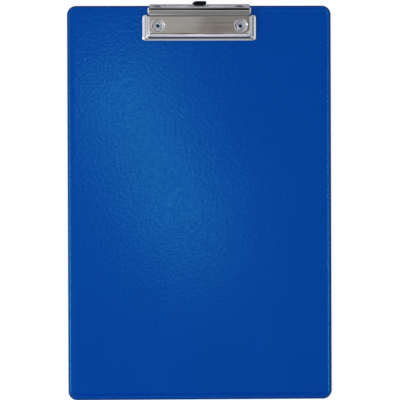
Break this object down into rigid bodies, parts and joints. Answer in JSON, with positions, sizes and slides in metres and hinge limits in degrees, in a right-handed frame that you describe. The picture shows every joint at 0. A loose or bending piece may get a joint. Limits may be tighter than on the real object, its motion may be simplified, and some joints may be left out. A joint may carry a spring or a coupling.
{
  "type": "clipboard",
  "caption": "Film-covered clipboard with a riveted low-profile lever clip sprung shut at one end and a flat hanger with an eye that pulls out under the clip.",
  "frame": {"origin": "centre of the board's back face", "axes": "+X across the board to the right seen from the front, +Y along the board towards the clip end, +Z out of the board's front face"},
  "size_m": [0.233, 0.352, 0.0173],
  "materials": {
    "greyboard": "matte",
    "blue_film": "leather-grained, satin",
    "nickel_plate": "satin nickel plating",
    "spring_steel": "oiled drawn wire",
    "rivet_metal": "bright plated",
    "black_plastic": "moulded, fine satin"
  },
  "bodies": {
    "root": {"board_core": "greyboard", "front_cover": "blue_film", "back_cover": "blue_film", "clip_base": "nickel_plate", "pivot_pin": "nickel_plate", "torsion_spring": "spring_steel", "rivet_left": "rivet_metal", "rivet_right": "rivet_metal"},
    "jaw": {"clip_jaw": "nickel_plate"},
    "hanger": {"hanging_tab": "black_plastic"}
  },
  "joints": [
    {"name": "jaw_hinge", "type": "hinge", "parent": "root", "child": "jaw", "pos_m": [0, 0.169, 0.0074], "axis": [-1, 0, 0], "range_deg": [0, 25], "stiffness_Nm_per_rad": 0.6, "springref_deg": -40.11, "deforming": ["torsion_spring"]},
    {"name": "hanger_slide", "type": "slide", "parent": "root", "child": "hanger", "axis": [0, 1, 0], "range_m": [0, 0.0115]}
  ]
}
